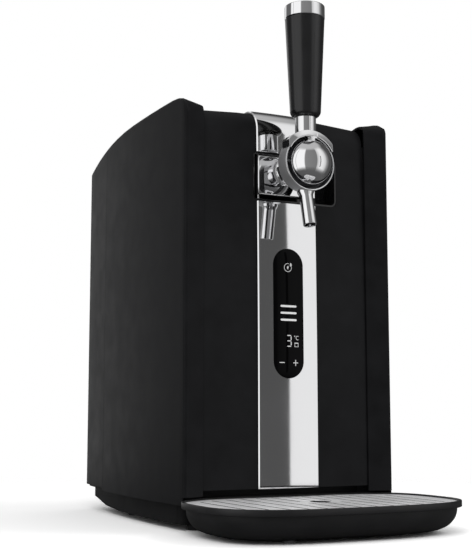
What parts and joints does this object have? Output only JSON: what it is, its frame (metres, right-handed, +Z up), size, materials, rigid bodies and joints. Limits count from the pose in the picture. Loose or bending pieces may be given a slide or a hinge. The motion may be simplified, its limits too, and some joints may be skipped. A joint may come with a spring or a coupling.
{
  "type": "mini keg beer dispenser",
  "caption": "Counter-top beer dispenser that cools a mini keg, with a lever tap on a small door, a hinged lid and a pull-out drip tray under the spout.",
  "frame": {"origin": "middle of the bounding box's footprint, at the height of the worktop", "axes": "+Z up; the front with the tap and drip tray looks along -Y; +X is to the right for someone who faces the front"},
  "size_m": [0.298, 0.525, 0.5872],
  "materials": {
    "black_plastic": "fine satin",
    "grey_plastic": "satin",
    "gloss_black": "polished",
    "chrome": "mirror",
    "aluminium": "satin",
    "rubber": "matt",
    "foam": "foamed",
    "circuit_board": "lacquered"
  },
  "bodies": {
    "casing": {"base_pan": "black_plastic", "foot_front_left": "rubber", "foot_front_right": "rubber", "foot_rear_left": "rubber", "foot_rear_right": "rubber", "side_panel_left": "black_plastic", "side_panel_right": "black_plastic", "rear_cover": "black_plastic", "front_panel": "black_plastic", "strip_lower": "chrome", "strip_upper": "chrome", "display_glass": "gloss_black", "display_board": "circuit_board", "bay_liner": "gloss_black", "door_pin": "chrome", "top_deck": "grey_plastic", "cooling_tub": "aluminium", "tub_insulation": "foam", "keg_seat": "rubber", "air_coupler": "grey_plastic", "cold_block": "aluminium", "thermoelectric_module": "grey_plastic", "heat_sink": "aluminium", "fan_frame": "grey_plastic", "air_pump": "grey_plastic", "air_hose": "grey_plastic", "power_supply": "grey_plastic", "control_board": "circuit_board", "mains_inlet": "gloss_black", "rear_screw_1": "chrome", "rear_screw_2": "chrome", "rear_screw_3": "chrome", "rear_screw_4": "chrome", "lid_pin_left": "chrome", "lid_pin_right": "chrome"},
    "fan": {"fan_rotor": "grey_plastic"},
    "lid": {"lid_cover": "black_plastic", "lid_liner": "grey_plastic", "lid_gasket": "rubber", "lid_catch": "grey_plastic"},
    "tap_door": {"door_face": "chrome", "door_carrier": "black_plastic", "tap_body": "chrome", "tap_pivot_pin": "chrome", "spout": "chrome"},
    "pincher": {"tube_pincher": "grey_plastic"},
    "lever": {"tap_ball": "chrome", "tap_yoke": "chrome", "tap_handle": "gloss_black", "tap_cap": "chrome"},
    "tray": {"tray_bowl": "black_plastic", "tray_pad_left": "rubber", "tray_pad_right": "rubber"},
    "grille": {"drip_grille": "chrome"}
  },
  "joints": [
    {"name": "lid_open", "type": "hinge", "parent": "casing", "child": "lid", "pos_m": [0, 0.1502, 0.4595], "axis": [-1, 0, 0], "range_deg": [0, 90]},
    {"name": "door_swing", "type": "hinge", "parent": "casing", "child": "tap_door", "pos_m": [-0.035, -0.0895, 0.39665], "axis": [0, 0, -1], "range_deg": [0, 80]},
    {"name": "lever_pull", "type": "hinge", "parent": "tap_door", "child": "lever", "pos_m": [0, -0.144, 0.403], "axis": [1, 0, 0], "range_deg": [0, 50]},
    {"name": "pincher_slide", "type": "slide", "parent": "tap_door", "child": "pincher", "axis": [0, 1, 0], "range_m": [0, 0.0031]},
    {"name": "tray_slide", "type": "slide", "parent": "casing", "child": "tray", "axis": [0, -1, 0], "range_m": [0, 0.12]},
    {"name": "grille_lift", "type": "slide", "parent": "tray", "child": "grille", "axis": [0, 0, 1], "range_m": [0, 0.0035]},
    {"name": "fan_spin", "type": "hinge", "parent": "casing", "child": "fan", "pos_m": [0, 0.2171, 0.16], "axis": [0, 1, 0], "continuous": true}
  ],
  "couplings": [
    {"joint": "pincher_slide", "follows": "lever_pull", "m_per_rad": 0.00344}
  ]
}
